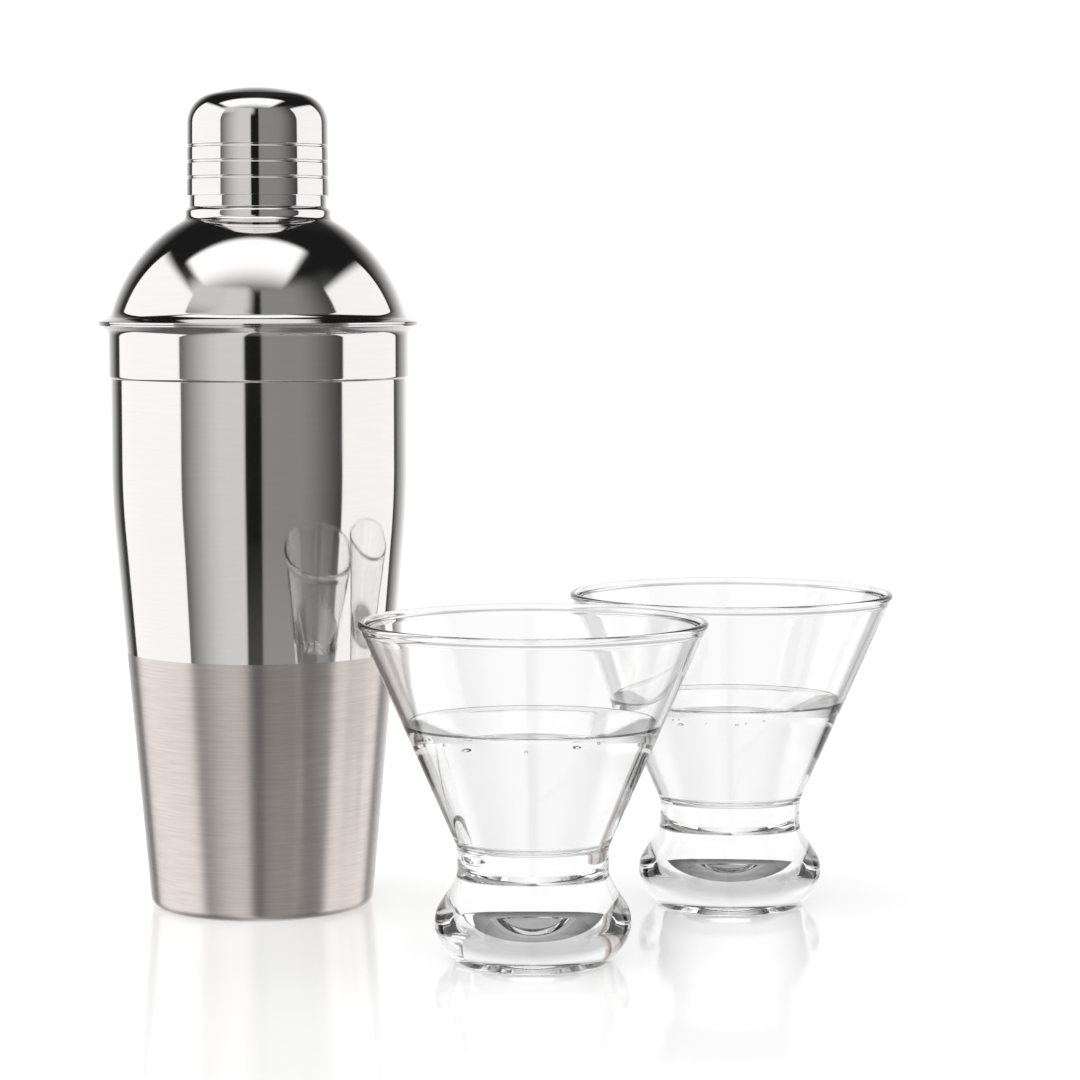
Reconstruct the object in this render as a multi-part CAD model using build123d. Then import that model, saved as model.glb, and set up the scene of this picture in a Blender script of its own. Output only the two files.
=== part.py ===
from build123d import *

import os
from math import acos, atan2, cos, degrees, radians, sin, sqrt, tan

# A three-piece cocktail shaker (cup, strainer top, cap) and two stemless cocktail glasses.
# Millimetres, +Z up. The set stands on z = 0, with the middle of its footprint at the origin.

# ---- Shaker cup: one spun steel wall, a 5 degree cone that eases into a straight mouth ----
sheet = 0.6  # steel sheet, the same in every shaker piece
cup_foot_radius = 33.2  # where the cone's side would meet the table
cup_body_radius = 44.0  # outside, at the straight upper part
cup_height = 174.9  # to the top of the lip
shoulder_drop = 52.9  # below the lip, where the cone's side would meet the straight part
cup_shoulder_bend = 250.0
cup_corner_bend = 3.0  # rounded edge round the base
base_recess_radius = 27.0
base_recess = 1.2  # how far the middle of the base stands off the table
base_recess_run = 1.8
base_recess_bend = 1.5
base_ring_bend = 1.2  # inner edge of the ring that the cup stands on
collar_drop = 16.3  # below the lip, the foot of the wider collar that takes the skirt
collar_step = 0.6  # how far the collar stands out from the body
collar_bend = 0.9
collar_root_bend = 0.3
flare_drop = 2.4  # below the lip, where the collar starts to flare
flare_angle = 40.0  # of the flare, above the horizontal
flare_bend = 2.5
lip_overhang = 2.9  # the lip's edge, past the collar
lip_bend = 1.0

# ---- Strainer top: skirt, brim, dome, bead and neck, spun as one piece ----
skirt_fit = 0.15  # radial clearance in the cup's collar
skirt_gap = 2.3  # between the skirt's lower edge and the collar's foot
brim_overhang = 0.2  # past the cup's lip
brim_edge = 0.7  # thickness of the brim at its edge
brim_edge_bend = 0.3
brim_root_bend = 0.8
brim_slope = 22.0  # of the brim's upper face
dome_foot_inset = 0.45  # the dome's foot, inside the skirt's outside
dome_foot_rise = 4.0  # the dome's foot, above the brim's seat
dome_foot_angle = 16.2  # how far the dome already leans in at its foot
dome_top_gap = 2.35  # between the dome's end and the bead
dome_foot_bend = 3.0
skirt_top_bend = 8.0  # inside, where the skirt runs into the dome
bead_overhang = 1.15  # past the root of the neck
bead_height = 2.3
bead_bend = 0.9
bead_top_angle = 45.0  # of the bead's upper side
bead_foot_bend = 2.0
neck_root_radius = 20.45
neck_root_bend = 0.4
neck_height = 21.5
neck_taper = 0.7  # degrees, a slight cone that wedges the cap

# ---- Strainer disc, pressed into the bead ----
disc_thickness = 0.8
disc_press = 0.02  # interference in the bead
disc_hole_radius = 1.5
disc_hole_pitch = 4.8  # between rings of holes
disc_rings = 3

# ---- Cap ----
cap_fit = 0.15  # radial clearance on the neck
cap_lift = 3.2  # neck left bare under the cap
cap_headroom = 14.0  # from the neck's mouth to the top of the cap
cap_corner_bend = 9.0
cap_crown_radius = 49.0
groove_heights = (5.4, 10.1, 14.7)  # above the cap's mouth
groove_depth = 0.22
groove_radius = 0.5

# ---- Glasses: a straight-sided cone on a solid, bulging foot ----
glass_height = 94.6
glass_rim_radius = 48.3  # outside the rim's bead
glass_wall = 1.8
rim_bead_radius = 1.1
waist_radius = 21.0
waist_low_z = 23.5
waist_high_z = 31.6
waist_foot_bend = 8.0
waist_bowl_bend = 6.0
foot_ring_radius = 21.4  # where the foot meets the table
foot_ring_bend = 2.0
foot_belly_radius = 29.8  # corner of the belly, before it is rounded
foot_belly_z = 9.8
foot_belly_bend = 10.0
punt_depth = 5.2
punt_radius = 15.5
punt_run = 3.5
punt_bend = 2.5
foot_ring_inner_bend = 0.8
bowl_floor_z = 33.0
bowl_corner_bend = 3.5

# ---- Layout on the table: each glass stands beside its neighbour, with a gap ----
front_gap = 21.9  # between the cup's brim and the front glass's rim
front_bearing = -45.9  # degrees from +X, seen from the cup
rear_gap = 4.9  # between the two rims
rear_bearing = 54.3  # degrees from +X, seen from the front glass


def direction(angle):
    """Unit vector in the section plane, at an angle in degrees above +X."""
    return Vector(cos(radians(angle)), sin(radians(angle)))


def meet(start_a, angle_a, start_b, angle_b):
    """Where two lines of the section meet, each given by a point and its angle."""
    a, b = direction(angle_a), direction(angle_b)
    gap = Vector(*start_b) - Vector(*start_a)
    along = (gap.X * b.Y - gap.Y * b.X) / (a.X * b.Y - a.Y * b.X)
    met = Vector(*start_a) + a * along
    return (met.X, met.Y)


# ---- Values that follow from the ones above ----
collar_z = cup_height - collar_drop
collar_radius = cup_body_radius + collar_step
lip_radius = collar_radius + lip_overhang
skirt_radius = collar_radius - sheet - skirt_fit
skirt_z = collar_z + collar_step + skirt_gap
brim_radius = lip_radius + brim_overhang

bead_radius = neck_root_radius + bead_overhang
dome_foot = Vector(skirt_radius - dome_foot_inset, cup_height + dome_foot_rise)
dome_radius = dome_foot.X / cos(radians(dome_foot_angle))
dome_top_angle = degrees(acos((bead_radius + dome_top_gap) / dome_radius))
dome_top = dome_foot + (direction(dome_top_angle) - direction(dome_foot_angle)) * dome_radius
dome_corner = meet(dome_foot, dome_foot_angle + 90, dome_top, dome_top_angle + 90)
bead_foot = meet(dome_top, dome_top_angle + 90, (bead_radius, 0), 90)
bead_top = (bead_radius, bead_foot[1] + bead_height)
disc_z = bead_top[1] - bead_bend - disc_thickness / 2
neck_root = meet(bead_top, 90 + bead_top_angle, (neck_root_radius, 0), 90)
neck_top = meet(neck_root, 90 + neck_taper, (0, neck_root[1] + neck_height), 0)
cap_z = neck_root[1] + cap_lift
cap_height = neck_height - cap_lift + cap_headroom
cap_mouth_radius = neck_root_radius - cap_lift * tan(radians(neck_taper)) + cap_fit + sheet

cup_at = Vector(0, 0)
front_at = cup_at + direction(front_bearing) * (brim_radius + front_gap + glass_rim_radius)
rear_at = front_at + direction(rear_bearing) * (2 * glass_rim_radius + rear_gap)
footprint = [(cup_at, brim_radius), (front_at, glass_rim_radius), (rear_at, glass_rim_radius)]
middle_x = (min(at.X - r for at, r in footprint) + max(at.X + r for at, r in footprint)) / 2
middle_y = (min(at.Y - r for at, r in footprint) + max(at.Y + r for at, r in footprint)) / 2


def angles(points):
    """Direction of each run of an outline, in degrees."""
    return [degrees(atan2(q[1] - p[1], q[0] - p[0])) for p, q in zip(points, points[1:])]


def inset(points, bends, wall):
    """The same outline, one wall thickness to the left, with its bends to match."""
    runs = angles(points)
    shifted = []
    for point, run in zip(points, runs + runs[-1:]):
        side = direction(run + 90) * wall
        shifted.append((point[0] + side.X, point[1] + side.Y))
    moved = [shifted[0]]
    moved += [meet(shifted[i - 1], runs[i - 1], shifted[i], runs[i]) for i in range(1, len(runs))]
    moved.append(shifted[-1])
    turns = [(after - before + 180) % 360 - 180 for before, after in zip(runs, runs[1:])]
    return moved, [bend - wall if turn > 0 else bend + wall for bend, turn in zip(bends, turns)]


def section(outside, outside_bends, inside, inside_bends):
    """Face between an outer and an inner outline, both drawn from foot to mouth."""
    outer = FilletPolyline(*outside, radius=outside_bends)
    inner = FilletPolyline(*inside, radius=inside_bends)
    ends = [Line(outer @ 0, inner @ 0), Line(outer @ 1, inner @ 1)]
    return make_face(outer + inner + ends)


def spin(face):
    """A section turned round the upright axis."""
    return revolve(Plane.XZ * face, axis=Axis.Z)


def shaker_cup():
    flare_foot = (collar_radius, cup_height - flare_drop)
    lip_edge = (lip_radius, cup_height - sheet)
    outline = [
        (0, base_recess),
        (base_recess_radius, base_recess),
        (base_recess_radius + base_recess_run, 0),
        (cup_foot_radius, 0),
        (cup_body_radius, cup_height - shoulder_drop),
        (cup_body_radius, collar_z),
        (collar_radius, collar_z + collar_step),
        flare_foot,
        meet(flare_foot, flare_angle, lip_edge, 0),
        lip_edge,
    ]
    bends = [base_recess_bend, base_ring_bend, cup_corner_bend, cup_shoulder_bend]
    bends += [collar_root_bend, collar_bend, flare_bend, lip_bend]
    return spin(section(outline, bends, *inset(outline, bends, sheet)))


def strainer_top():
    dome = [dome_corner, bead_foot, bead_top, neck_root, neck_top]
    dome_bends = [dome_radius, bead_foot_bend, bead_bend, neck_root_bend]
    brim_top = (brim_radius, cup_height + brim_edge)
    outside = [
        (skirt_radius, skirt_z),
        (skirt_radius, cup_height),
        (brim_radius, cup_height),
        brim_top,
        meet(brim_top, 180 - brim_slope, dome_foot, dome_foot_angle + 90),
    ] + dome
    outside_bends = [brim_root_bend, brim_edge_bend, brim_edge_bend, dome_foot_bend] + dome_bends
    skirt_top = meet((skirt_radius, 0), 90, dome_foot, dome_foot_angle + 90)
    plain = [(skirt_radius, skirt_z), skirt_top] + dome
    plain_bends = [skirt_top_bend] + dome_bends
    return spin(section(outside, outside_bends, *inset(plain, plain_bends, sheet)))


def strainer_disc():
    disc = Cylinder(bead_radius - sheet + disc_press, disc_thickness)
    holes = [Location((0, 0, 0))]
    for ring in range(1, disc_rings + 1):
        holes += PolarLocations(ring * disc_hole_pitch, 6 * ring).locations
    hole = Cylinder(disc_hole_radius, 2 * disc_thickness)
    disc -= [place * hole for place in holes]
    return Pos(0, 0, disc_z) * disc


def cap_outline(wall):
    """The cap's crown, rounded corner and tapered side, one wall thickness inside its outside."""
    crown = Vector(0, cap_z + cap_height - cap_crown_radius)
    side = direction(neck_taper)
    # The corner's centre lies one bend inside the tapered side, and one bend inside the crown.
    across = cap_mouth_radius * side.X + (cap_z - crown.Y) * side.Y - cap_corner_bend
    along = sqrt((cap_crown_radius - cap_corner_bend) ** 2 - across**2)
    corner = crown + side * across + Vector(-side.Y, side.X) * along
    to_corner = (corner - crown).normalized()
    crown_half = (Vector(0, 1) + to_corner).normalized()
    corner_half = (to_corner + side).normalized()
    crown_bend, corner_bend = cap_crown_radius - wall, cap_corner_bend - wall
    top = crown + Vector(0, crown_bend)
    joint = crown + to_corner * crown_bend
    side_top = corner + side * corner_bend
    return [
        ThreePointArc(top, crown + crown_half * crown_bend, joint),
        ThreePointArc(joint, corner + corner_half * corner_bend, side_top),
        Line(side_top, meet(side_top, neck_taper - 90, (0, cap_z), 0)),
    ]


def cap():
    outer, inner = cap_outline(0), cap_outline(sheet)
    ends = [Line(outer[0] @ 0, inner[0] @ 0), Line(outer[2] @ 1, inner[2] @ 1)]
    face = make_face(outer + inner + ends)
    for height in groove_heights:
        radius = cap_mouth_radius - height * tan(radians(neck_taper))
        face -= Pos(radius + groove_radius - groove_depth, cap_z + height) * Circle(groove_radius)
    return spin(face)


def glass():
    """One glass, standing on z = 0 round its own axis."""
    rim_z = glass_height - rim_bead_radius
    outline = [
        (0, punt_depth),
        (punt_radius, punt_depth),
        (punt_radius + punt_run, 0),
        (foot_ring_radius, 0),
        (foot_belly_radius, foot_belly_z),
        (waist_radius, waist_low_z),
        (waist_radius, waist_high_z),
        (glass_rim_radius - rim_bead_radius / 5, rim_z),
    ]
    bends = [punt_bend, foot_ring_inner_bend, foot_ring_bend]
    bends += [foot_belly_bend, waist_foot_bend, waist_bowl_bend]
    bowl_run = angles(outline)[-1]
    wall = direction(bowl_run + 90) * glass_wall
    bowl_top = (outline[-1][0] + wall.X, outline[-1][1] + wall.Y)
    inside = [(0, bowl_floor_z), meet((0, bowl_floor_z), 0, bowl_top, bowl_run), bowl_top]
    face = section(outline, bends, inside, [bowl_corner_bend])
    face += Pos(glass_rim_radius - rim_bead_radius, rim_z) * Circle(rim_bead_radius)
    return spin(face)


parts = {
    "shaker_cup": (cup_at, shaker_cup()),
    "strainer_top": (cup_at, strainer_top()),
    "strainer_disc": (cup_at, strainer_disc()),
    "cap": (cup_at, cap()),
    "glass_front": (front_at, glass()),
    "glass_rear": (rear_at, glass()),
}

os.makedirs("parts", exist_ok=True)
for name, (at, solid) in parts.items():
    placed = Pos(at.X - middle_x, at.Y - middle_y, 0) * solid
    placed.label = name
    export_step(placed, f"parts/{name}.step")
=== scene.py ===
import cmath
import math
import random

import bmesh
import bpy
import numpy as np
from mathutils import Matrix, Vector


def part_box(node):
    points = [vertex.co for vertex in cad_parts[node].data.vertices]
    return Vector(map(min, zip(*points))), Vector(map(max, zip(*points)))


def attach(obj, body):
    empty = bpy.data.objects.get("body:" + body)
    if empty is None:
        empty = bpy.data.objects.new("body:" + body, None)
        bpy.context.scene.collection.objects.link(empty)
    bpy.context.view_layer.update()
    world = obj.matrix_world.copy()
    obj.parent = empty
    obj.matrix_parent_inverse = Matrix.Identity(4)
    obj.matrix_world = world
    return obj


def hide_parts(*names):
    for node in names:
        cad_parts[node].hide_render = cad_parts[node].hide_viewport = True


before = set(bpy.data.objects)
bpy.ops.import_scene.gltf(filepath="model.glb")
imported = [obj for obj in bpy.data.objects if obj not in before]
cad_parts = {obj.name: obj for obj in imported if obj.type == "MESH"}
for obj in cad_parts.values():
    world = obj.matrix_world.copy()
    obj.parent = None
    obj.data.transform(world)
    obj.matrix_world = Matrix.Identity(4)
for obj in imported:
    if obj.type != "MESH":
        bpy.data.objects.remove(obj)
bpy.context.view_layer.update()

MM = 0.001
SEGMENTS = 256  # round each spun piece
ARC_STEP = math.radians(4)
ARC_RUN = 1.2 * MM  # longest straight run that stands in for a curve

# ---------------------------------------------------------------- places, from the frame


def axis_of(node):
    low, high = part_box(node)
    return Vector(((low[0] + high[0]) / 2, (low[1] + high[1]) / 2, 0))


def radius_of(node):
    low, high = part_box(node)
    return (high[0] - low[0]) / 2


CUP_AXIS = axis_of("shaker_cup")
LIP_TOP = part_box("shaker_cup")[1][2]
LIP_RADIUS = radius_of("shaker_cup")
BRIM_RADIUS = radius_of("strainer_top")
SKIRT_FOOT, NECK_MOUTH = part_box("strainer_top")[0][2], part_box("strainer_top")[1][2]
CAP_MOUTH, CAP_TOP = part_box("cap")[0][2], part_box("cap")[1][2]
CAP_RADIUS = radius_of("cap")
GLASS_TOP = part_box("glass_front")[1][2]
GLASS_RADIUS = radius_of("glass_front")

# ---------------------------------------------------------------- sizes inside the frame

SHEET = 0.6 * MM
SHEET_EDGE = 0.24 * MM  # rounding on the cut edges of the sheet
BRUSH_LINE = 76.9 * MM  # the cup is brushed below this height and mirror polished above

# ---------------------------------------------------------------- outlines as complex r + iz


def bearing(degrees):
    return cmath.rect(1, math.radians(degrees))


def cross(a, b):
    return a.real * b.imag - a.imag * b.real


def meet(p, p_way, q, q_way):
    """Where the line through p along p_way meets the line through q along q_way."""
    return p + p_way * cross(q - p, q_way) / cross(p_way, q_way)


def inset(corners, bends, wall):
    """The outline one wall thickness to its left, its bends changed to match."""
    ways = [(b - a) / abs(b - a) for a, b in zip(corners, corners[1:])]
    moved = [corners[0] + 1j * ways[0] * wall]
    for corner, before, after in zip(corners[1:], ways, ways[1:]):
        moved.append(meet(corner + 1j * before * wall, before, corner + 1j * after * wall, after))
    moved.append(corners[-1] + 1j * ways[-1] * wall)
    left = [cross(a, b) > 0 for a, b in zip(ways, ways[1:])]
    return moved, [bend - wall if turn else bend + wall for bend, turn in zip(bends, left)]


def rounded(corners, bends):
    """Points and outward normals along an outline whose inner corners are rounded.

    The outline runs with its solid on the left, so its outward normal is on the right.
    """
    points, normals = [], []

    def put(point, normal):
        points.append(point)
        normals.append(normal)

    ways = [(b - a) / abs(b - a) for a, b in zip(corners, corners[1:])]
    put(corners[0], -1j * ways[0])
    for corner, bend, before, after in zip(corners[1:], bends, ways, ways[1:]):
        turn = cmath.phase(after / before)
        reach = bend * math.tan(abs(turn) / 2)
        side = math.copysign(1, turn)
        centre = corner - before * reach + 1j * before * bend * side
        steps = max(2, math.ceil(abs(turn) / ARC_STEP), math.ceil(abs(turn) * bend / ARC_RUN))
        for step in range(steps + 1):
            way = before * cmath.rect(1, turn * step / steps)
            put(centre - 1j * way * bend * side, -1j * way)
    put(corners[-1], -1j * ways[-1])
    return points, normals


def split_at(outline, height):
    """The same outline with an extra point wherever it crosses a height."""
    points, normals = outline
    new_points, new_normals = [points[0]], [normals[0]]
    for index in range(1, len(points)):
        low, high = points[index - 1], points[index]
        if (low.imag - height) * (high.imag - height) < 0:
            share = (height - low.imag) / (high.imag - low.imag)
            normal = normals[index - 1] * (1 - share) + normals[index] * share
            new_points.append(low + share * (high - low))
            new_normals.append(normal / abs(normal))
        new_points.append(high)
        new_normals.append(normals[index])
    return new_points, new_normals


def closed_sheet(outside, outside_bends, inside, inside_bends):
    """One sheet's whole section: up its outside, over its rounded mouth and down its inside."""
    corners = list(outside) + list(reversed(inside))
    bends = list(outside_bends) + [SHEET_EDGE, SHEET_EDGE] + list(reversed(inside_bends))
    return corners, bends


# ---------------------------------------------------------------- spinning an outline


def lathe(name, axis, outline, materials, zones=None):
    """A round piece: an outline's points and normals turned round a vertical axis.

    An outline that starts or ends on the axis is closed there with one point. Otherwise it joins
    up with itself. zones gives a face's material number from its height and outward normal.
    """
    points, normals = outline
    open_ends = abs(points[0].real) < 1e-7 and abs(points[-1].real) < 1e-7
    turns = np.linspace(0, 2 * math.pi, SEGMENTS, endpoint=False)
    rings, vertices, vertex_normals = [], [], []
    for point, normal in zip(points, normals):
        if abs(point.real) < 1e-7:
            rings.append([len(vertices)] * SEGMENTS)
            vertices.append((axis.x, axis.y, point.imag))
            vertex_normals.append((0, 0, math.copysign(1, normal.imag)))
            continue
        rings.append(list(range(len(vertices), len(vertices) + SEGMENTS)))
        for turn in turns:
            c, s = math.cos(turn), math.sin(turn)
            vertices.append((axis.x + point.real * c, axis.y + point.real * s, point.imag))
            vertex_normals.append((normal.real * c, normal.real * s, normal.imag))
    pairs = list(zip(rings, rings[1:]))
    if not open_ends:
        pairs.append((rings[-1], rings[0]))
    faces, numbers = [], []
    for index, (low, high) in enumerate(pairs):
        after = (index + 1) % len(points)
        middle = (points[index] + points[after]) / 2
        number = zones(middle, normals[index] + normals[after]) if zones else 0
        for a in range(SEGMENTS):
            b = (a + 1) % SEGMENTS
            face = list(dict.fromkeys([low[a], low[b], high[b], high[a]]))  # a triangle at the axis
            if len(face) > 2:
                faces.append(face)
                numbers.append(number)
    mesh = bpy.data.meshes.new(name)
    mesh.from_pydata(vertices, [], faces)
    for material in materials:
        mesh.materials.append(material)
    mesh.polygons.foreach_set("material_index", numbers)
    mesh.polygons.foreach_set("use_smooth", [True] * len(faces))
    mesh.update()
    mesh.normals_split_custom_set_from_vertices(vertex_normals)
    piece = bpy.data.objects.new(name, mesh)
    bpy.context.collection.objects.link(piece)
    return piece


# ---------------------------------------------------------------- shader nodes


class Nodes:
    """Short calls that add nodes to one tree."""

    def __init__(self, tree):
        self.tree = tree
        tree.nodes.clear()

    def add(self, kind, inputs=None, **settings):
        node = self.tree.nodes.new(kind)
        for key, value in settings.items():
            setattr(node, key, value)
        for key, value in (inputs or {}).items():
            if isinstance(value, bpy.types.NodeSocket):
                self.tree.links.new(value, node.inputs[key])
            else:
                node.inputs[key].default_value = value
        return node

    def math(self, operation, a, b=0.0, clamp=False):
        return self.add("ShaderNodeMath", {0: a, 1: b}, operation=operation, use_clamp=clamp).outputs[0]

    def spread(self, value, low, high, to_low=0.0, to_high=1.0, smooth=False):
        kind = "SMOOTHSTEP" if smooth else "LINEAR"
        inputs = {"Value": value, "From Min": low, "From Max": high, "To Min": to_low, "To Max": to_high}
        return self.add("ShaderNodeMapRange", inputs, interpolation_type=kind).outputs[0]

    def noise(self, vector, scale, detail=2.0, roughness=0.5):
        inputs = {"Vector": vector, "Scale": scale, "Detail": detail, "Roughness": roughness}
        return self.add("ShaderNodeTexNoise", inputs).outputs["Fac"]

    def blend(self, factor, a, b):
        inputs = {"Factor": factor, 6: a, 7: b}
        return self.add("ShaderNodeMix", inputs, data_type="RGBA").outputs[2]


def new_material(name):
    material = bpy.data.materials.new(name)
    material.use_nodes = True
    return material, Nodes(material.node_tree)


def centred(nodes, axis):
    """Object coordinates about a piece's own axis."""
    place = nodes.add("ShaderNodeTexCoord").outputs["Object"]
    return nodes.add("ShaderNodeVectorMath", {0: place, 1: axis}, operation="SUBTRACT").outputs[0]


def spun_coordinates(nodes, axis, along, around):
    """Coordinates that run slowly round the axis and fast up it, for lines left by a lathe."""
    about = centred(nodes, axis)
    flat = nodes.add("ShaderNodeVectorMath", {0: about, 1: (1, 1, 0)}, operation="MULTIPLY").outputs[0]
    way = nodes.add("ShaderNodeVectorMath", {0: flat}, operation="NORMALIZE").outputs[0]
    parts = nodes.add("ShaderNodeSeparateXYZ", {0: way})
    height = nodes.add("ShaderNodeSeparateXYZ", {0: about}).outputs[2]
    radius = nodes.add("ShaderNodeVectorMath", {0: flat}, operation="LENGTH").outputs["Value"]
    # The radius counts too, so that flat faces carry the lines as well.
    run = nodes.math("ADD", height, nodes.math("MULTIPLY", radius, 0.7))
    place = {
        0: nodes.math("MULTIPLY", parts.outputs[0], around),
        1: nodes.math("MULTIPLY", parts.outputs[1], around),
        2: nodes.math("MULTIPLY", run, along),
    }
    return nodes.add("ShaderNodeCombineXYZ", place).outputs[0]


def steel(name, axis, color, dark, roughness, rough_spread, line_depth, lines, anisotropy):
    """Stainless steel: lathe lines, handling smudges and a little uneven polish."""
    material, nodes = new_material(name)
    about = centred(nodes, axis)
    fine = nodes.noise(spun_coordinates(nodes, axis, lines, 3.0), 1.0, 2.0, 0.6)
    smudge = nodes.noise(about, 38.0, 4.0, 0.6)
    cloud = nodes.noise(about, 12.0, 2.0)
    tone = nodes.blend(nodes.spread(nodes.math("ADD", fine, cloud), 0.75, 1.25), dark, color)
    rough = nodes.spread(smudge, 0.35, 0.75, roughness, roughness + rough_spread)
    bump = nodes.add("ShaderNodeBump", {"Strength": 1.0, "Distance": line_depth, "Height": fine})
    tangent = nodes.add("ShaderNodeTangent", direction_type="RADIAL", axis="Z")
    inputs = {
        "Base Color": tone,
        "Metallic": 1.0,
        "Roughness": rough,
        "Anisotropic": anisotropy,
        "Anisotropic Rotation": 0.25,
        "Normal": bump.outputs[0],
        "Tangent": tangent.outputs[0],
    }
    shader = nodes.add("ShaderNodeBsdfPrincipled", inputs)
    nodes.add("ShaderNodeOutputMaterial", {"Surface": shader.outputs[0]})
    return material


def clear(name, axis, color, ior, ripple, ripple_scale):
    """Clear glass or liquid, with the faint waves of a pressed or still surface."""
    material, nodes = new_material(name)
    about = centred(nodes, axis)
    waves = nodes.noise(about, ripple_scale, 1.0)
    bump = nodes.add("ShaderNodeBump", {"Strength": 1.0, "Distance": ripple, "Height": waves})
    haze = nodes.spread(nodes.noise(about, 60.0, 3.0), 0.55, 0.8, 0.0, 0.02)
    inputs = {
        "Base Color": color,
        "Roughness": haze,
        "IOR": ior,
        "Transmission Weight": 1.0,
        "Normal": bump.outputs[0],
    }
    shader = nodes.add("ShaderNodeBsdfPrincipled", inputs)
    nodes.add("ShaderNodeOutputMaterial", {"Surface": shader.outputs[0]})
    return material


# ---------------------------------------------------------------- the shaker

MIRROR = ((0.71, 0.69, 0.68, 1), (0.69, 0.67, 0.66, 1))  # lighter and darker tone of the polish
BRUSHED = ((0.68, 0.62, 0.59, 1), (0.56, 0.505, 0.475, 1))
MICRON = 0.001 * MM
mirror = steel(
    "mirror_steel",
    CUP_AXIS,
    *MIRROR,
    roughness=0.045,
    rough_spread=0.04,
    line_depth=0.4 * MICRON,
    lines=1500.0,
    anisotropy=0.3,
)
brushed = steel(
    "brushed_steel",
    CUP_AXIS,
    *BRUSHED,
    roughness=0.32,
    rough_spread=0.04,
    line_depth=1.8 * MICRON,
    lines=1700.0,
    anisotropy=0.88,
)
satin = steel(
    "satin_steel",
    CUP_AXIS,
    *BRUSHED,
    roughness=0.22,
    rough_spread=0.08,
    line_depth=3.0 * MICRON,
    lines=1500.0,
    anisotropy=0.4,
)


def make_cup():
    body, collar = 44.0 * MM, 44.6 * MM
    recess, recess_radius = 1.2 * MM, 27.0 * MM
    foot_inner, foot_outer = 28.8 * MM, 33.2 * MM
    cone_drop, step_low_drop, step_high_drop, flare_drop = 52.9 * MM, 16.3 * MM, 15.7 * MM, 2.4 * MM
    flare_foot = complex(collar, LIP_TOP - flare_drop)
    lip = complex(LIP_RADIUS, LIP_TOP - SHEET)
    outside = [
        complex(0, recess),
        complex(recess_radius, recess),
        complex(foot_inner, 0),
        complex(foot_outer, 0),
        complex(body, LIP_TOP - cone_drop),
        complex(body, LIP_TOP - step_low_drop),
        complex(collar, LIP_TOP - step_high_drop),
        flare_foot,
        meet(flare_foot, bearing(40), lip, 1),
        lip,
    ]
    bends = [b * MM for b in (1.5, 1.2, 3.0, 250.0, 0.3, 0.9, 2.5, 1.0)]
    corners, bends = closed_sheet(outside, bends, *inset(outside, bends, SHEET))

    def zone(at, normal):
        """Satin on the inside wall, brushed low on the outside, mirror above."""
        inside_face = normal.real < 0 and at.real < body - SHEET / 2
        if inside_face and at.imag > SHEET + 1.5 * MM:
            return 2
        return 1 if at.imag < BRUSH_LINE else 0

    outline = split_at(rounded(corners, bends), BRUSH_LINE)
    return lathe("cup", CUP_AXIS, outline, [mirror, brushed, satin], zone)


def make_top():
    skirt, bead, neck = 43.85 * MM, 21.6 * MM, 20.45 * MM
    lean, taper = 16.2, 0.7
    foot = complex(skirt - 0.45 * MM, LIP_TOP + 4.0 * MM)
    dome = foot.real / math.cos(math.radians(lean))
    top_angle = math.degrees(math.acos((bead + 2.35 * MM) / dome))
    top = foot + dome * (bearing(top_angle) - bearing(lean))
    dome_corner = meet(foot, bearing(lean + 90), top, bearing(top_angle + 90))
    bead_foot = meet(top, bearing(top_angle + 90), complex(bead, 0), 1j)
    bead_top = bead_foot + 2.3j * MM
    neck_root = meet(bead_top, bearing(135), complex(neck, 0), 1j)
    neck_top = meet(neck_root, bearing(90 + taper), complex(0, NECK_MOUTH), 1)
    shared = [dome_corner, bead_foot, bead_top, neck_root, neck_top]
    shared_bends = [dome, 2.0 * MM, 0.9 * MM, 0.4 * MM]
    brim_top = complex(BRIM_RADIUS, LIP_TOP + 0.7 * MM)
    brim_foot = meet(brim_top, bearing(158), foot, bearing(lean + 90))
    outside = [complex(skirt, SKIRT_FOOT), complex(skirt, LIP_TOP), complex(BRIM_RADIUS, LIP_TOP)]
    outside += [brim_top, brim_foot] + shared
    outside_bends = [0.8 * MM, 0.3 * MM, 0.3 * MM, 3.0 * MM] + shared_bends
    plain = [complex(skirt, SKIRT_FOOT), meet(complex(skirt, 0), 1j, foot, bearing(lean + 90))] + shared
    inside, inside_bends = inset(plain, [8.0 * MM] + shared_bends, SHEET)
    corners, bends = closed_sheet(outside, outside_bends, inside, inside_bends)
    # The section closes under the skirt, so it starts and ends in the middle of that cut edge.
    start = (corners[0] + corners[-1]) / 2
    corners = [start] + corners + [start]
    bends = [SHEET_EDGE] + bends + [SHEET_EDGE]
    points, normals = rounded(corners, bends)
    return lathe("top", CUP_AXIS, (points[:-1], normals[:-1]), [mirror])


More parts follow.
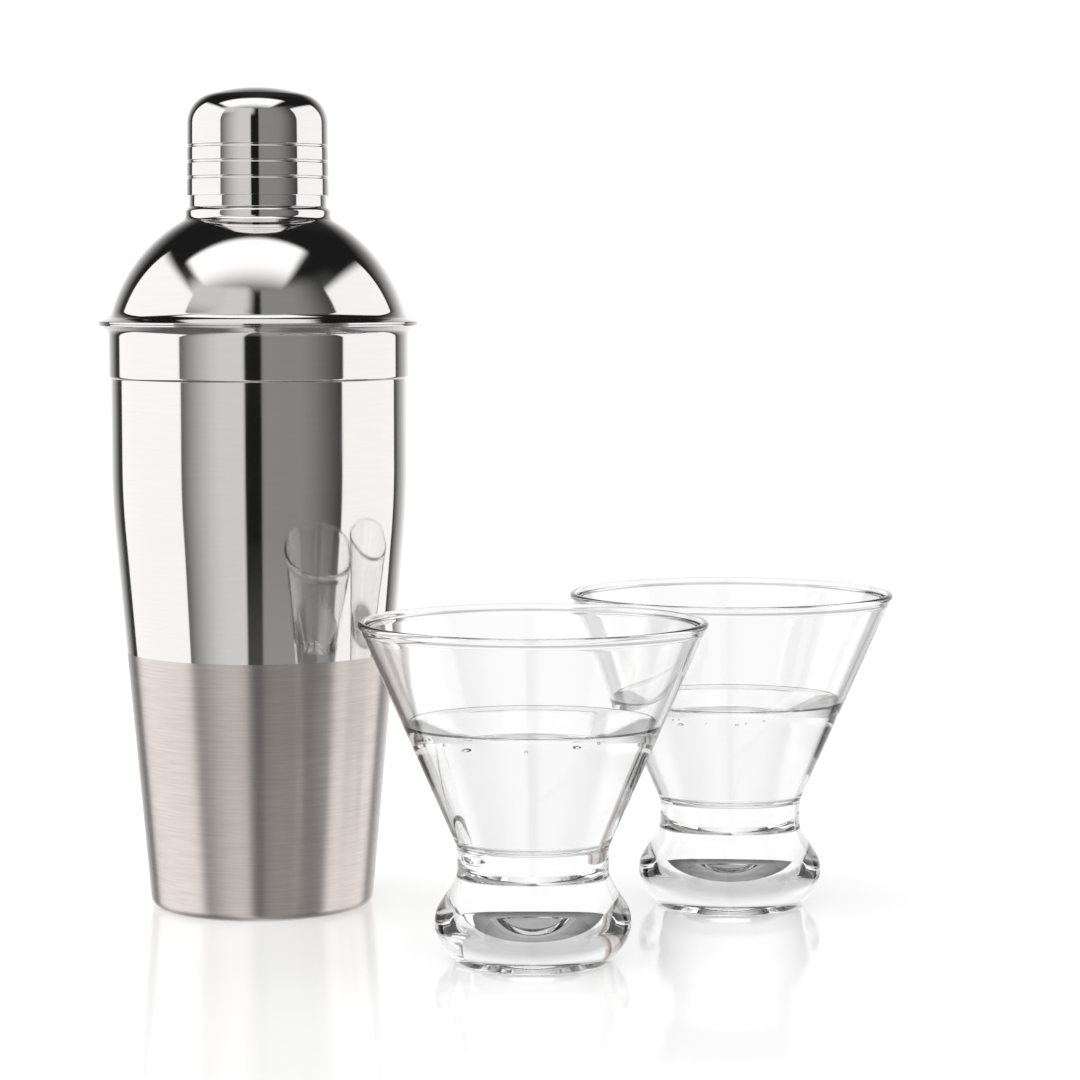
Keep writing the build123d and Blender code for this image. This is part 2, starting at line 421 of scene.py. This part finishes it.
def make_cap():
    taper = bearing(0.7)
    crown_bend, corner_bend = 49.0 * MM, 9.0 * MM
    groove_depth, groove_bend = 0.22 * MM, 0.5 * MM
    shoulder = 0.12 * MM  # the side is eased this far on both sides of a groove
    half = math.acos(1 - groove_depth / groove_bend)

    def outline(offset):
        crown = complex(0, CAP_TOP - crown_bend)
        across = complex(CAP_RADIUS, CAP_MOUTH) - crown
        reach = across.real * taper.real + across.imag * taper.imag - corner_bend
        along = math.sqrt((crown_bend - corner_bend) ** 2 - reach**2)
        corner = crown + taper * complex(reach, along)
        way = (corner - crown) / abs(corner - crown)
        return crown, corner, way, crown_bend - offset, corner_bend - offset

    def arc(centre, bend, start, end, steps):
        turn = cmath.phase(end / start)
        ways = [start * cmath.rect(1, turn * step / steps) for step in range(steps + 1)]
        return [(centre + bend * way, way) for way in ways]

    def up_and_over(offset, grooves):
        """From the mouth up the side and over to the middle of the crown."""
        crown, corner, way, crown_r, corner_r = outline(offset)
        side_top = corner + taper * corner_r
        mouth = meet(side_top, 1j * taper, complex(0, CAP_MOUTH), 1)
        samples = [(mouth, taper)]
        for height in grooves:
            centre = mouth + 1j * taper * height + taper * (groove_bend - groove_depth)
            start, end = -taper * cmath.rect(1, half), -taper * cmath.rect(1, -half)
            dip = [(p, -w) for p, w in arc(centre, groove_bend, start, end, 8)]
            dip = sorted(dip, key=lambda sample: sample[0].imag)
            samples.append((dip[0][0] - 1j * taper * shoulder, taper))
            samples += dip
            samples.append((dip[-1][0] + 1j * taper * shoulder, taper))
        samples += arc(corner, corner_r, taper, way, 24)
        samples += arc(crown, crown_r, way, 1j, 20)[1:]
        return samples

    outer = up_and_over(0, [h * MM for h in (5.4, 10.1, 14.7)])
    inner = up_and_over(SHEET, [])
    # Rounded mouth between the two.
    edge = SHEET_EDGE
    turn_out = arc(outer[0][0] + 1j * edge - edge, edge, -1j, taper, 5)
    turn_in = arc(inner[0][0] + 1j * edge + edge, edge, -1 + 0j, -1j, 5)
    down = [(p, -w) for p, w in reversed(inner[1:])]
    samples = down + turn_in + turn_out + outer[1:]
    samples[0] = (complex(0, samples[0][0].imag), -1j)
    samples[-1] = (complex(0, samples[-1][0].imag), 1j)
    outline_points = [point for point, _ in samples]
    outline_normals = [normal for _, normal in samples]
    return lathe("cap_shell", CUP_AXIS, (outline_points, outline_normals), [mirror])


# ---------------------------------------------------------------- glasses

DRINK_LEVELS = {"front": 66.0 * MM, "rear": 62.0 * MM}
BUBBLES = {"front": (26, 3), "rear": (12, 8)}  # how many, and the seed that places them
BOWL_WALL, BOWL_FLOOR = 1.8 * MM, 33.0 * MM
RIM_BEAD = 1.1 * MM
RIM_NECK = 3.0 * MM  # the wall's last stretch, which runs on into the bead
BEAD_WRAP = 0.35  # how far, in radians, the bead turns past a half circle at each side
HOLLOW_RADIUS = 15.5 * MM  # the flat of the hollow
FOOT_INNER, FOOT_OUTER = 19.0 * MM, 21.4 * MM  # the ring that the glass stands on
BULGE_RADIUS, BULGE_HEIGHT = 29.8 * MM, 9.8 * MM
WAIST_HEIGHT = 23.5 * MM
CONE_FOOT = 31.6 * MM  # where the waist turns into the cone
PUNT, PUNT_RING, RING_RISE = 5.2 * MM, 9.7 * MM, 0.2 * MM  # hollow under the foot, mould ring in it
WAIST = 21.0 * MM


def bowl_line():
    """A point on the cone's outside and its direction, up the bowl."""
    start = complex(WAIST, CONE_FOOT)
    end = complex(GLASS_RADIUS - RIM_BEAD / 5, GLASS_TOP - RIM_BEAD)
    return start, (end - start) / abs(end - start), end


def make_glass(name, axis, material):
    start, way, end = bowl_line()
    bead = complex(GLASS_RADIUS - RIM_BEAD, GLASS_TOP - RIM_BEAD)
    inner_way = 1j * way * BOWL_WALL
    inner_end = end + inner_way
    inner_floor = meet(inner_end, way, complex(0, BOWL_FLOOR), 1)
    outer_neck, inner_neck = end - way * RIM_NECK, inner_end - way * RIM_NECK
    corners = [
        complex(0, PUNT),
        complex(PUNT_RING - 0.9 * MM, PUNT),
        complex(PUNT_RING - 0.4 * MM, PUNT + RING_RISE),
        complex(PUNT_RING + 0.4 * MM, PUNT + RING_RISE),
        complex(PUNT_RING + 0.9 * MM, PUNT),
        complex(HOLLOW_RADIUS, PUNT),
        complex(FOOT_INNER, 0),
        complex(FOOT_OUTER, 0),
        complex(BULGE_RADIUS, BULGE_HEIGHT),
        complex(WAIST, WAIST_HEIGHT),
        start,
        outer_neck,
    ]
    bends = [b * MM for b in (0.3, 0.3, 0.3, 0.3, 2.5, 0.8, 2.0, 10.0, 8.0, 6.0)]
    points, normals = rounded(corners, bends)
    # The bead is most of a circle on the end of the wall.
    bead_start = cmath.phase(-1j * way) - BEAD_WRAP
    for step in range(33):
        spot = cmath.rect(1, bead_start + step / 32 * (math.pi + 2 * BEAD_WRAP))
        points.append(bead + RIM_BEAD * spot)
        normals.append(spot)
    floor_corners = [inner_neck, inner_floor, complex(0, BOWL_FLOOR)]
    inside_points, inside_normals = rounded(floor_corners, [3.5 * MM])
    points += inside_points
    normals += inside_normals
    return lathe(name, axis, (points, normals), [material])


WALL_OVERLAP = 0.12 * MM  # how far the drink reaches into the glass
CREEP = 0.9 * MM  # the meniscus climbs the wall
MENISCUS_RUN, MENISCUS_FADE = 4.5 * MM, 1.1 * MM


def add_bubbles(drink, axis, level, count, seed):
    """A few tiny bubbles that hang under the surface by the wall: hollows, so they face inwards."""
    draw = random.Random(seed)
    _, way, end = bowl_line()
    mesh = bmesh.new()
    mesh.from_mesh(drink.data)
    shell = len(mesh.faces)
    for _ in range(count):
        size = draw.uniform(0.22, 0.62) * MM
        depth = draw.uniform(0.4, 2.6) * MM + size
        wall = meet(end + 1j * way * BOWL_WALL, way, complex(0, level - depth), 1).real
        reach = wall - size - draw.uniform(0.3, 2.4) * MM
        turn = draw.uniform(0, 2 * math.pi)
        x, y = axis.x + reach * math.cos(turn), axis.y + reach * math.sin(turn)
        place = Matrix.Translation((x, y, level - depth))
        bmesh.ops.create_icosphere(mesh, subdivisions=3, radius=size, matrix=place)
    mesh.faces.ensure_lookup_table()
    bubbles = mesh.faces[shell:]
    bmesh.ops.reverse_faces(mesh, faces=bubbles)
    for face in bubbles:
        face.smooth = True
    mesh.to_mesh(drink.data)
    mesh.free()


def make_drink(name, axis, level, material):
    """The drink fills the bowl, a hair into the wall so that no air is left between them."""
    _, way, end = bowl_line()
    wall = end + 1j * way * (BOWL_WALL - WALL_OVERLAP)
    floor = complex(0, BOWL_FLOOR - WALL_OVERLAP)
    low = meet(wall, way, floor, 1)
    top = meet(wall, way, complex(0, level), 1)
    edge = top + way * CREEP
    points, normals = rounded([floor, low, edge], [3.6 * MM])
    rise = []
    for step in range(1, 13):
        run = step / 12 * MENISCUS_RUN
        lift = CREEP * math.exp(-run / MENISCUS_FADE)
        rise.append(complex(edge.real - run, level + lift * way.imag))
    slopes = [b - a for a, b in zip([edge] + rise, rise)]
    points += rise
    normals += [-1j * slope / abs(slope) for slope in slopes]
    points.append(complex(0, level))
    normals.append(1j)
    points[0], normals[0] = floor, -1j
    return lathe(name, axis, (points, normals), [material])


cup = make_cup()
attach(cup, "cup")
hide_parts("shaker_cup")

top = make_top()
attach(top, "top")
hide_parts("strainer_top")

cap = make_cap()
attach(cap, "cap")
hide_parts("cap")

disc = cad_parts["strainer_disc"]
for place in disc.material_slots:
    place.material = satin

for side in ("front", "rear"):
    axis = axis_of("glass_" + side)
    crystal = clear("crystal_" + side, axis, (0.992, 0.993, 0.992, 1), 1.5, 0.00004, 55.0)
    water = clear("drink_" + side, axis, (0.998, 0.998, 0.998, 1), 1.333, 0.00001, 40.0)
    glass = make_glass("glass_body_" + side, axis, crystal)
    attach(glass, side + "_glass")
    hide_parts("glass_" + side)
    drink = make_drink("drink_body_" + side, axis, DRINK_LEVELS[side], water)
    add_bubbles(drink, axis, DRINK_LEVELS[side], *BUBBLES[side])
    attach(drink, side + "_glass")
    glass.visible_shadow = False
    drink.visible_shadow = False
for piece in (cup, top, cap):
    piece.visible_shadow = False

# ---------------------------------------------------------------- studio

FLOOR_RADIUS = 1.5
FLOOR_IOR = 1.28
FILL = 1.9  # strength of the overhead fill
PLAIN_WHITE = 1.05  # what the camera sees behind the set, and the table's far part
DARKEST = 0.014  # the least light from any wall that the steel sees


def make_floor():
    """A glossy white table. Steel mirrors the room through it, so the room's stripes run on down."""
    material, nodes = new_material("studio_floor")
    place = nodes.add("ShaderNodeTexCoord").outputs["Object"]
    grain = nodes.noise(place, 9.0, 3.0)
    open_tone = nodes.blend(grain, (0.94, 0.94, 0.94, 1), (0.95, 0.95, 0.95, 1))
    rough = nodes.spread(grain, 0.3, 0.7, 0.09, 0.12)
    # A contact shadow, strongest where the floor is seen through a glass foot.
    path = nodes.add("ShaderNodeLightPath")
    openness = nodes.add("ShaderNodeAmbientOcclusion", {"Distance": 0.03}, samples=8).outputs["AO"]
    weight = nodes.spread(path.outputs["Is Transmission Ray"], 0.0, 1.0, 0.35, 1.0)
    shade = nodes.math("MULTIPLY", nodes.spread(openness, 0.15, 0.95, 1.0, 0.0), weight)
    tone = nodes.blend(shade, open_tone, (0.30, 0.30, 0.30, 1))
    inputs = {"Base Color": tone, "Roughness": rough, "IOR": FLOOR_IOR}
    shader = nodes.add("ShaderNodeBsdfPrincipled", inputs)
    gone = nodes.add("ShaderNodeBsdfTransparent")
    away = nodes.add("ShaderNodeVectorMath", {0: place}, operation="LENGTH").outputs["Value"]
    mirrored = nodes.spread(away, 0.10, 0.50, 0.88, 1.0, smooth=True)
    share = nodes.math("MULTIPLY", path.outputs["Is Glossy Ray"], mirrored)
    # Far from the set the table runs out into plain white, so that its edge never shows.
    glow = nodes.add("ShaderNodeEmission", {"Color": (1, 1, 1, 1), "Strength": PLAIN_WHITE})
    far = nodes.spread(away, 0.30, 0.90, smooth=True)
    top = nodes.add("ShaderNodeMixShader", {0: far, 1: shader.outputs[0], 2: glow.outputs[0]})
    mixed = nodes.add("ShaderNodeMixShader", {0: share, 1: top.outputs[0], 2: gone.outputs[0]})
    nodes.add("ShaderNodeOutputMaterial", {"Surface": mixed.outputs[0]})
    rim = [cmath.rect(FLOOR_RADIUS, 2 * math.pi * step / 128) for step in range(128)]
    mesh = bpy.data.meshes.new("floor")
    mesh.from_pydata([(at.real, at.imag, 0) for at in rim], [], [list(range(128))])
    mesh.materials.append(material)
    floor = bpy.data.objects.new("floor", mesh)
    bpy.context.collection.objects.link(floor)


def make_world():
    """A white studio: white behind, a softbox on each side and one overhead, a darker room in front."""
    world = bpy.data.worlds.new("studio")
    bpy.context.scene.world = world
    world.use_nodes = True
    n = Nodes(world.node_tree)
    way = n.add("ShaderNodeSeparateXYZ", {0: n.add("ShaderNodeTexCoord").outputs["Generated"]}).outputs
    right, back, up = way[0], way[1], way[2]
    front = n.math("MULTIPLY", back, -1.0)

    def window(value, low, high, soft):
        rise = n.spread(value, low - soft, low + soft, smooth=True)
        fall = n.spread(value, high - soft, high + soft, 1.0, 0.0, smooth=True)
        return n.math("MULTIPLY", rise, fall)

    def softbox(depth, across, rise, across_range, rise_range, level, soft, rise_soft):
        """A lit rectangle one unit away along depth."""
        facing = n.math("GREATER_THAN", depth, 0.02)
        safe = n.math("MAXIMUM", depth, 0.02)
        a = window(n.math("DIVIDE", across, safe), *across_range, soft)
        b = window(n.math("DIVIDE", rise, safe), *rise_range, rise_soft)
        return n.math("MULTIPLY", n.math("MULTIPLY", n.math("MULTIPLY", a, b), facing), level)

    left = n.math("MULTIPLY", right, -1.0)
    left_box = softbox(
        left,
        front,
        up,
        across_range=(-0.82, 0.62),
        rise_range=(-0.9, 0.98),
        level=1.34,
        soft=0.02,
        rise_soft=0.10,
    )
    right_box = softbox(
        right,
        front,
        up,
        across_range=(-0.98, 0.33),
        rise_range=(-0.9, 0.93),
        level=1.30,
        soft=0.02,
        rise_soft=0.10,
    )
    # The overhead box is hung with its far edge straight above and dims towards the camera.
    overhead = softbox(
        up,
        right,
        front,
        across_range=(-0.80, 0.46),
        rise_range=(-0.12, 1.4),
        level=1.5,
        soft=0.07,
        rise_soft=0.06,
    )
    front_slope = n.math("DIVIDE", front, n.math("MAXIMUM", up, 0.02))
    dimming = n.spread(front_slope, 0.25, 1.05, 1.0, 0.0, smooth=True)
    top_box = n.math("MULTIPLY", overhead, dimming)

    # The walls, by bearing from the camera's side: (degrees, level).
    walls = [(-180, 1.15), (-162, 0.95), (-146, 0.42), (-136, 0.05), (-124, 0.04), (-62, 0.06)]
    walls += [(-56, 0.20), (-50, 0.38), (-42, 0.58), (-34, 0.74), (-26, 0.84), (-7.2, 0.85)]
    walls += [(-6.4, 0.01), (6.4, 0.012), (7.2, 0.33), (38, 0.32), (48, 0.26), (60, 0.15), (70, 0.07)]
    walls += [(130, 0.05), (137, 0.08), (147, 0.45), (163, 0.95), (180, 1.15)]
    turn = n.math("ARCTAN2", right, front)
    share = n.spread(turn, -math.pi, math.pi)
    ramp = n.add("ShaderNodeValToRGB", {"Fac": share})
    stops = ramp.color_ramp.elements
    for degrees, _ in walls[1:-1]:
        stops.new((degrees + 180) / 360)
    for stop, (_, level) in zip(stops, walls):
        stop.color = (level, level, level, 1)
    ring = n.add("ShaderNodeSeparateColor", {0: ramp.outputs["Color"]}).outputs[0]
    # The wall behind fades upwards sooner than the room in front.
    behind = n.spread(back, -0.2, 0.3, smooth=True)
    fade_back = n.spread(up, 0.10, 0.62, 1.0, 0.03, smooth=True)
    fade_front = n.spread(up, 0.72, 0.86, 1.0, 0.06, smooth=True)
    fade = n.add("ShaderNodeMix", {0: behind, 2: fade_front, 3: fade_back}).outputs[0]
    # Light from the left spills over the top of the front wall there.
    high, leftward = n.spread(up, 0.30, 0.60, smooth=True), n.spread(right, 0.04, -0.10, smooth=True)
    forward = n.spread(front, 0.10, 0.40, smooth=True)
    spill = n.math("MULTIPLY", n.math("MULTIPLY", n.math("MULTIPLY", high, leftward), forward), 0.80)
    wall = n.math("MAXIMUM", ring, spill)
    room = n.math("MAXIMUM", n.math("MULTIPLY", wall, fade), DARKEST)
    boxes = n.math("MAXIMUM", left_box, n.math("MAXIMUM", right_box, top_box))
    level = n.math("MAXIMUM", room, boxes)

    # Glass and drink look out on a plainer room: white all round under a dark ceiling. Solid glass
    # also sees a dimmer band low on the wall, which darkens the glass feet.
    path = n.add("ShaderNodeLightPath").outputs
    solid = n.math("LESS_THAN", path["Transmission Depth"], 2.5)
    card = n.math("MULTIPLY", solid, window(up, 0.17, 0.36, 0.04))
    ceiling = n.spread(up, 0.34, 0.60, 1.0, 0.08, smooth=True)
    lit = n.math("SUBTRACT", 1.04, n.math("MULTIPLY", card, 0.42))
    clear_room = n.math("MULTIPLY", lit, ceiling)

    def backdrop(value):
        grey = n.add("ShaderNodeCombineColor", {0: value, 1: value, 2: value}).outputs[0]
        return n.add("ShaderNodeBackground", {"Color": grey}).outputs[0]

    # Seen in the steel, a glass shows the same room as the steel around it.
    bounced = n.math("GREATER_THAN", path["Glossy Depth"], 0.5)
    through = n.math("GREATER_THAN", path["Transmission Depth"], 1.5)
    direct = n.math("SUBTRACT", 1.0, n.math("MULTIPLY", bounced, through))
    looks_out = n.math("MULTIPLY", path["Is Transmission Ray"], direct)
    by_path = {0: looks_out, 1: backdrop(level), 2: backdrop(clear_room)}
    seen = n.add("ShaderNodeMixShader", by_path).outputs[0]
    plain = n.add("ShaderNodeBackground", {"Color": (1, 1, 1, 1), "Strength": PLAIN_WHITE}).outputs[0]
    mixed = n.add("ShaderNodeMixShader", {0: path["Is Camera Ray"], 1: seen, 2: plain})
    n.add("ShaderNodeOutputWorld", {"Surface": mixed.outputs[0]})


def make_fill():
    """A wide overhead fill that only lights matt things: it keeps the floor white."""
    light = bpy.data.lights.new("fill", "SUN")
    light.angle = math.radians(100)
    light.energy = FILL
    fill = bpy.data.objects.new("fill", light)
    fill.visible_glossy = False
    fill.visible_transmission = False
    bpy.context.collection.objects.link(fill)


def make_camera():
    data = bpy.data.cameras.new("camera")
    data.sensor_width = 36
    data.lens = 110
    camera = bpy.data.objects.new("camera", data)
    camera.location = (CUP_AXIS.x + 84.0 * MM, CUP_AXIS.y - 988.4 * MM, 189.3 * MM)
    camera.rotation_euler = (math.radians(90 - 4.59), 0, 0)
    bpy.context.collection.objects.link(camera)
    bpy.context.scene.camera = camera


make_floor()
make_world()
make_fill()
make_camera()
bpy.context.scene.view_settings.view_transform = "Standard"
